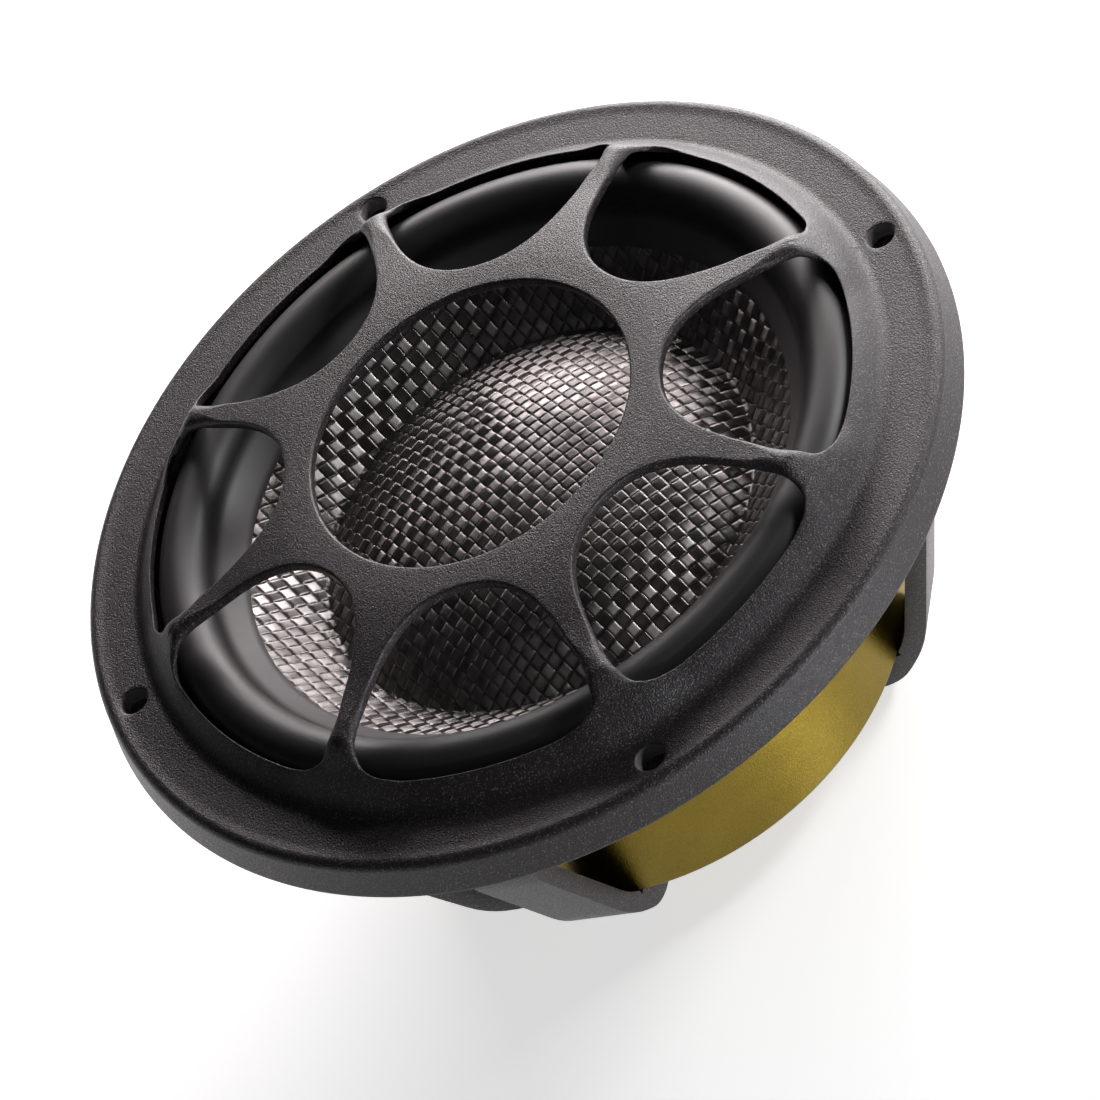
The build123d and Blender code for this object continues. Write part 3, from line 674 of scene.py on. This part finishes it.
def guard_hub(builder):
    """The rounded wall of the hub's hole."""
    edge_r = HUB_HOLE_R + EDGE_ROUND
    top = web_z(edge_r)
    under_z = top - WEB_THICK
    small = HUB_UNDER_ROUND
    edge = arc((edge_r, top - EDGE_ROUND), EDGE_ROUND, 90, 180, 7)
    under = arc((HUB_HOLE_R + small, under_z + small), small, 180, 270, 5)
    lathe(builder, edge + under + [(edge_r, under_z)], 2 * ARMS * HUB_STEPS)


def band_z(r):
    """Front surface of the band that carries the mounting holes."""
    ramp_r = 80.3
    bead_r = RIM_FRONT_R - BEAD_R
    return BAND_Z + (BEAD_TOP_Z - BAND_Z) * smooth_step((r - ramp_r) / (bead_r - ramp_r))


def guard_band(builder):
    """The flat band with its holes, the rim's bead and side, and the hidden skirt."""
    count = 2 * ARMS * LIP_STEPS
    step = 2 * pi / count
    # each hole takes a patch of the grid, span steps and reach millimetres either side of its centre
    span = 4
    reach = 3.6
    # in from the rim's widest radius, and height
    rim_foot = [(0.05, 0.7), (0.0, 0.35), (0.1, 0.1), (0.35, 0.0)]
    radii = np.linspace(HOLE_CIRCLE_R - reach, HOLE_CIRCLE_R + reach, 2 * span + 1)
    rows = [[(r * cos(j * step), r * sin(j * step), band_z(r)) for j in range(count)] for r in radii]
    quarter = count // 4
    for k in range(4):
        first = k * quarter + span
        stop = (k + 1) * quarter - span
        builder.grid([[row[j % count] for j in range(first, stop + 1)] for row in rows])
        bolt_hole(builder, k * quarter * step, step, span, radii)
    lathe(builder, [(LIP_FOOT_R, BAND_Z), (radii[0], BAND_Z)], count)
    bead = (RIM_FRONT_R - BEAD_R, BEAD_TOP_Z - BEAD_R)
    side = [(radii[-1], band_z(radii[-1]))] + arc(bead, BEAD_R, 90, 0, 10)
    side += [(RIM_R - inward, z) for inward, z in rim_foot]
    side += [(SKIRT_IN_R, 0.0), (SKIRT_IN_R, BAND_UNDER_Z)]
    side += [(LIP_FOOT_R, BAND_UNDER_Z), (LIP_FOOT_R, BAND_Z - WEB_THICK)]
    lathe(builder, side, count)


def bolt_hole(builder, angle, step, span, radii):
    """A mounting hole in the band: a square patch of the band's grid drawn in to a round wall."""
    square = []
    for j in range(-span, span):
        square.append((radii[0], j))
    for i in range(2 * span):
        square.append((radii[i], span))
    for j in range(span, -span, -1):
        square.append((radii[-1], j))
    for i in range(2 * span, 0, -1):
        square.append((radii[i], -span))
    outer = np.array([(r * cos(angle + j * step), r * sin(angle + j * step)) for r, j in square])
    centre = HOLE_CIRCLE_R * np.array([cos(angle), sin(angle)])
    away = outer - centre
    away /= np.linalg.norm(away, axis=1)[:, None]
    soft = HOLE_ROUND
    rows = []
    for t in np.linspace(0, 1, 5):
        flat = outer * (1 - t) + (centre + away * (HOLE_R + soft)) * t
        rows.append([(x, y, band_z(np.hypot(x, y))) for x, y in flat])
    for a in np.radians([60, 30, 0]):
        flat = centre + away * (HOLE_R + soft * (1 - cos(a)))
        rows.append([(x, y, band_z(np.hypot(x, y)) - soft * (1 - sin(a))) for x, y in flat])
    flat = centre + away * HOLE_R
    rows.append([(x, y, BAND_UNDER_Z) for x, y in flat])
    builder.grid(rows, closed=True)


def guard(finish):
    builder = Builder()
    for i in range(ARMS):
        guard_sector(builder, (i + 0.5) * 2 * pi / ARMS)
    guard_hub(builder)
    guard_band(builder)
    piece = builder.make("guard_casting", sharp=35.0)
    piece.data.materials.append(finish["powder_coat"])
    # the hole walls get a lighter grey, painted light standing in for the light that reaches into them
    mark_painted_hole_light(piece)
    finish_piece(piece, "guard")


# ---------------------------------------------------------------- the diaphragm
def diaphragm(r):
    """Height of the pressing's front at a radius: dome, rounded valley, cone."""
    centre = VALLEY_Z - sqrt(DOME_SPHERE_R ** 2 - VALLEY_R ** 2)
    dome = centre + np.sqrt(DOME_SPHERE_R ** 2 - np.minimum(r, DOME_REACH_R) ** 2)
    return smooth_max(dome, cone_z(r), VALLEY_SOFT)


def cone_z(r):
    return VALLEY_Z + (r - VALLEY_R) * tan(CONE_SLOPE)


def smooth_max(a, b, soft):
    """The larger of two heights with a rounded corner."""
    share = np.clip(0.5 + 0.5 * (a - b) / soft, 0, 1)
    return b + (a - b) * share + soft * share * (1 - share)


def brick(along, across):
    """Height of a tow over one crossing: arched along its length, flat with round sides across."""
    arch = np.cos(pi * along * TOW_ARCH)
    side = (1 - np.abs(2 * across) ** TOW_FLATNESS) ** 0.5
    return arch * side


def woven_cone(finish):
    """The pressing's front as real tows over and under each other."""
    tiny = 1e-6
    apart = 0.01
    count = int(ceil(WEAVE_R / TOW))
    line = (np.arange(-count, count)[:, None] + np.array(TOW_STEPS)).ravel()
    p, q = np.meshgrid(line, line, indexing="ij")
    cell_p = np.floor(p + tiny)
    cell_q = np.floor(q + tiny)
    u = p - cell_p - 0.5
    v = q - cell_q - 0.5
    warp = (cell_p + cell_q) % 2 == 0
    lift = np.where(warp, brick(u, v), brick(v, u))
    lift[(np.abs(np.abs(u) - 0.5) < tiny) | (np.abs(np.abs(v) - 0.5) < tiny)] = 0.0
    # a tow's crossing is longer than it is wide, so the borders bow out at its ends and in at its sides
    bow = np.where(warp, 1.0, -1.0) * TOW_SWELL
    p = (p + bow * 4 * u * np.abs(u) * np.cos(pi * v)) * TOW
    q = (q - bow * 4 * v * np.abs(v) * np.cos(pi * u)) * TOW
    r = np.hypot(p, q)
    slope = (diaphragm(r + apart) - diaphragm(np.maximum(r - apart, 0))) / (2 * apart)
    steep = 1 / np.sqrt(1 + slope ** 2)
    safe = np.maximum(r, tiny)
    x = p - slope * p / safe * steep * lift * TOW_HEIGHT
    y = q - slope * q / safe * steep * lift * TOW_HEIGHT
    z = diaphragm(r) + steep * (lift - 0.5) * TOW_HEIGHT
    c, s = cos(TOW_ANGLE), sin(TOW_ANGLE)
    points = np.stack([x * c - y * s, x * s + y * c, z], -1) * MM
    inside = r <= WEAVE_R
    index = -np.ones(p.shape, int)
    index[inside] = np.arange(inside.sum())
    corners = np.stack([index[:-1, :-1], index[1:, :-1], index[1:, 1:], index[:-1, 1:]], -1)
    whole = corners.min(axis=-1) >= 0
    mesh = bpy.data.meshes.new("woven_cone")
    mesh.from_pydata(points[inside].tolist(), [], corners[whole].tolist())
    family = mesh.attributes.new("family", "FLOAT", "FACE")
    family.data.foreach_set("value", 1.0 - warp[:-1, :-1][whole].astype(np.float32))
    piece = place("woven_cone", mesh, 60.0)
    # the material darkens the tows' low edges by this lift, painted shade in the grooves
    mark_points(piece, "rise", lift[inside])
    piece.data.materials.append(finish["woven_carbon"])
    finish_piece(piece, "cone")


def cone_back(finish):
    """The plain back of the pressing, seen between the legs, out to the rim under the flap."""
    edge_r = CONE_R - 0.1
    overlap_r = WEAVE_R - 2.6
    below_tows = 0.25
    dome, valley, slope = np.linspace(0.5, 40, 30), np.linspace(40.4, 43.6, 9), np.linspace(44, edge_r, 18)
    radii = np.concatenate([dome, valley, slope])
    back = [(r, float(diaphragm(np.array(r))) - PRESSING_THICK) for r in radii]
    front = [(r, float(cone_z(r)) - below_tows) for r in np.linspace(edge_r, overlap_r, 6)]
    builder = Builder()
    lathe(builder, back + front, 256)
    piece = builder.make("cone_back")
    piece.data.materials.append(finish["epoxy"])
    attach(piece, "cone")


def radial_blend(piece):
    """Bakes the piece's placement into its points."""
    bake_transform(piece)


def surround(finish):
    """Rubber surround: flap on the cone, half roll, foot on the chassis ledge."""
    inner_r = ROLL_R - ROLL_TUBE_R
    outer_r = ROLL_R + ROLL_TUBE_R
    turn_r = inner_r + 0.05
    foot_z = LEDGE_Z + 0.02
    painted_light_fades = 1.5

    def flap_z(r):
        return cone_z(r) + SKIN + 0.12

    edge = [(FLAP_IN_R + 0.05, cone_z(FLAP_IN_R) + 0.25), (FLAP_IN_R + 0.2, cone_z(FLAP_IN_R) + 0.62)]
    flap = [(r, flap_z(r)) for r in np.linspace(FLAP_IN_R + 0.6, inner_r - 1.3, 8)]
    roll = arc((ROLL_R, ROLL_Z), ROLL_TUBE_R, 162, 2, 42)
    # the flap turns up into the roll along a quadratic curve
    a, b, c = np.array([flap[-1], (turn_r, flap_z(turn_r)), roll[0]])
    turn = [tuple(a * (1 - t) ** 2 + b * 2 * t * (1 - t) + c * t * t) for t in np.linspace(0, 1, 9)[1:-1]]
    top = edge + flap + turn + roll
    top += [(outer_r + 0.25, ROLL_Z - 0.9), (outer_r + 0.7, LEDGE_Z + SKIN + 0.1)]
    top += [(SURROUND_R, LEDGE_Z + SKIN)]
    bottom = [(SURROUND_R, foot_z), (outer_r - 0.4, foot_z), (outer_r - 0.7, ROLL_Z - 0.4)]
    bottom += arc((ROLL_R, ROLL_Z), ROLL_TUBE_R - 0.7, 0, 180, 36)
    bottom += [(inner_r + 0.2, ROLL_Z - 0.6), (CONE_R + 0.25, cone_z(CONE_R) - 0.1)]
    bottom += [(FLAP_IN_R + 0.3, cone_z(FLAP_IN_R) + 0.05), top[0]]
    builder = Builder()
    lathe(builder, top + bottom, 320)
    piece = builder.make("surround_rubber")
    piece.data.materials.append(finish["rubber"])
    # marks the flap for the rubber's painted light, fading out towards the roll
    reach = np.array([hypot(v.co.x, v.co.y) / MM for v in piece.data.vertices])
    mark_points(piece, "flap", smooth_step((inner_r - reach) / painted_light_fades))
    radial_blend(piece)
    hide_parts("surround")


def spider(finish):
    """Corrugated spider between the former's collar and its ring."""
    inner_r = COLLAR_R + 0.02
    outer_r = high("spider").x
    rest = (low("spider").z + high("spider").z) / 2
    flat_in = inner_r + 1.4
    flat_out = outer_r - 4.2
    wave_height = 0.8
    waves = 2
    half_thick = 0.2
    radii = np.linspace(inner_r, outer_r, 80)
    inside = np.clip((radii - flat_in) / (flat_out - flat_in), 0, 1)
    wave = wave_height * np.sin(inside * 2 * waves * pi)
    top = [(r, rest + half_thick + h) for r, h in zip(radii, wave)]
    bottom = [(r, rest - half_thick + h) for r, h in zip(radii[::-1], wave[::-1])]
    builder = Builder()
    lathe(builder, top + bottom + [top[0]], 256)
    piece = builder.make("spider_weave", sharp=60.0)
    piece.data.materials.append(finish["spider_cloth"])
    radial_blend(piece)
    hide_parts("spider")


# ---------------------------------------------------------------- the leads
def spline_points(route):
    """Points read from the smooth line that has these control points."""
    curve = bpy.data.curves.new("route", "CURVE")
    curve.dimensions = "3D"
    spline = curve.splines.new("NURBS")
    spline.points.add(len(route) - 1)
    for point, place_at in zip(spline.points, route):
        point.co = (*place_at, 1.0)
    spline.order_u = 3
    spline.use_endpoint_u = True
    spline.resolution_u = 30
    holder = bpy.data.objects.new("route", curve)
    line = bpy.data.meshes.new_from_object(holder)
    points = [vertex.co.copy() for vertex in line.vertices]
    bpy.data.objects.remove(holder)
    bpy.data.curves.remove(curve)
    bpy.data.meshes.remove(line)
    return points


def lead(finish, node, side):
    """A slack tinsel lead, three strands laid together, from the collar to the board's back."""
    across = TAB_SPACING * side
    start = sqrt((COLLAR_R + 0.12) ** 2 - (abs(across) - LEAD_R) ** 2)
    run = [(start, LEAD_START_Z)] + LEAD_RUN
    c, s = cos(BOARD_ANGLE), sin(BOARD_ANGLE)
    route = [((r * c - across * s) * MM, (r * s + across * c) * MM, z * MM) for r, z in run]
    line = spline_points(route)
    builder = Builder()
    sides = 24
    rows = []
    walked = 0.0
    for i, here in enumerate(line):
        ahead = (line[min(i + 1, len(line) - 1)] - line[max(i - 1, 0)]).normalized()
        level = Vector((-s, c, 0.0))
        normal = ahead.cross(level).normalized()
        level = normal.cross(ahead)
        walked += (here - line[i - 1]).length / MM if i else 0.0
        row = []
        for a in np.arange(sides) * 2 * pi / sides:
            groove = STRAND_GROOVE * abs(cos(STRANDS / 2 * a - STRAND_TWIST * walked))
            thick = LEAD_R * (1 - STRAND_GROOVE + groove)
            row.append(here / MM + (level * cos(a) + normal * sin(a)) * thick)
        rows.append([tuple(point) for point in row])
    rows = [[tuple(line[0] / MM)] * sides] + rows + [[tuple(line[-1] / MM)] * sides]
    builder.grid(rows, closed=True)
    piece = builder.make(node + "_strands", sharp=70.0)
    piece.data.materials.append(finish["tinsel"])
    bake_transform(piece)
    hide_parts(node)


# ---------------------------------------------------------------- stage
FLOOR_REACH = 6000.0
FLOOR_GAP = 0.02
# name, place, width and height, power and colour; each points at the middle of the object's flange
LIGHTS = [
    ("key", (0.17, 0.46, 0.22), (0.46, 0.2), 3.4, (1.0, 0.93, 0.935)),
    ("back_panel", (0.85, 1.35, 0.30), (1.4, 0.55), 19.5, (1.0, 0.95, 0.955)),
    ("overhead", (-0.35, -0.75, 1.7), (1.7, 1.3), 1.2, (1.0, 1.0, 1.0)),
    ("right_side", (1.27, 0.20, 0.68), (0.40, 0.30), 12.0, (1.0, 1.0, 1.0)),
    ("low_right", (0.72, -1.02, 0.0), (0.3, 0.1), 10.0, (0.94, 0.96, 1.0)),
    ("low_back", (0.42, 0.72, 0.0), (0.6, 0.08), 2.2, (1.0, 1.0, 1.0)),
]
WORLD_COLOUR = (0.95, 0.96, 1.0, 1.0)
WORLD_STRENGTH = 0.03
AZIMUTH = radians(6.96)
ELEVATION = radians(44.33)
ROLL = radians(36.76)
AIM = Vector((-0.0011, -0.0080, -0.0080))
DISTANCE = 1.1182
LENS_MM = 206.2
SENSOR_MM = 36.0


def stage_floor():
    builder = Builder()
    corners = np.linspace(-FLOOR_REACH, FLOOR_REACH, 9)
    builder.grid([[(x, y, REST_Z - FLOOR_GAP) for y in corners] for x in corners])
    piece = builder.make("floor")
    finish = finish_material(
        "floor", (0.80, 0.80, 0.81), (0.83, 0.83, 0.83), (0.55, 0.65), patch=3.0, grain=900,
        grain_strength=0.03,
    )
    shader = finish.node_tree.nodes["Principled BSDF"]
    shader.inputs["Emission Color"].default_value = (1.0, 1.0, 1.0, 1.0)
    shader.inputs["Emission Strength"].default_value = 0.63
    piece.data.materials.append(finish)
    piece.visible_diffuse = False


def soft_light(name, place_at, size, power, colour):
    data = bpy.data.lights.new(name, "AREA")
    data.shape = "RECTANGLE"
    data.size, data.size_y = size
    data.energy = power
    data.color = colour
    lamp = bpy.data.objects.new(name, data)
    lamp.location = place_at
    lamp.rotation_mode = "QUATERNION"
    lamp.rotation_quaternion = (-Vector(place_at)).to_track_quat("-Z", "Y")
    lamp.visible_camera = False
    bpy.context.scene.collection.objects.link(lamp)


def lights():
    for row in LIGHTS:
        soft_light(*row)
    world = bpy.data.worlds.new("studio")
    world.use_nodes = True
    background = world.node_tree.nodes["Background"]
    background.inputs["Color"].default_value = WORLD_COLOUR
    background.inputs["Strength"].default_value = WORLD_STRENGTH
    bpy.context.scene.world = world


def camera():
    """The camera looks at AIM from AZIMUTH and ELEVATION, rolled clockwise by ROLL."""
    back = Vector((sin(AZIMUTH) * cos(ELEVATION), -cos(AZIMUTH) * cos(ELEVATION), sin(ELEVATION)))
    level = Vector((cos(AZIMUTH), sin(AZIMUTH), 0.0))
    right = level * cos(ROLL) - back.cross(level) * sin(ROLL)
    up = back.cross(right)
    data = bpy.data.cameras.new("camera")
    data.lens = LENS_MM
    data.sensor_width = SENSOR_MM
    data.clip_start = 0.05
    data.clip_end = 50.0
    eye = bpy.data.objects.new("camera", data)
    turn = Matrix((right, up, back)).transposed().to_4x4()
    eye.matrix_world = Matrix.Translation(AIM + back * DISTANCE) @ turn
    bpy.context.scene.collection.objects.link(eye)
    bpy.context.scene.camera = eye


def dress_frame(finish):
    """Every CAD node that stays gets its slot's finish."""
    for name, node in frame["nodes"].items():
        node.data.materials.clear()
        node.data.materials.append(finish[SLOTS[name]])
        shade_smooth(node.data, 35.0)


# CAD nodes whose sharp edges are rounded, with the width of the rounding in millimetres
SOFT_EDGES = {
    "chassis": 1.75, "motor_cup": 0.6, "guard_screws": 0.15, "motor_screws": 0.3, "gasket": 0.4,
    "pole_ring": 0.3, "spider_ring": 0.4, "core_sleeve": 0.3, "vent_screen": 0.1, "terminal_board": 0.2,
    "terminal_rivets": 0.25, "bridge_rivets": 0.25, "terminal_positive": 0.15, "terminal_negative": 0.15,
}
finish = all_materials()
dress_frame(finish)
guard(finish)
for node, width in SOFT_EDGES.items():
    piece = softened(node, width, finish)
    # the chassis's hole walls get the same painted light as the guard's
    if node == "chassis":
        mark_painted_hole_light(piece)
woven_cone(finish)
cone_back(finish)
surround(finish)
spider(finish)
lead(finish, "lead_positive", -1)
lead(finish, "lead_negative", 1)
stage_floor()
lights()
camera()
bpy.context.scene.view_settings.view_transform = "Standard"
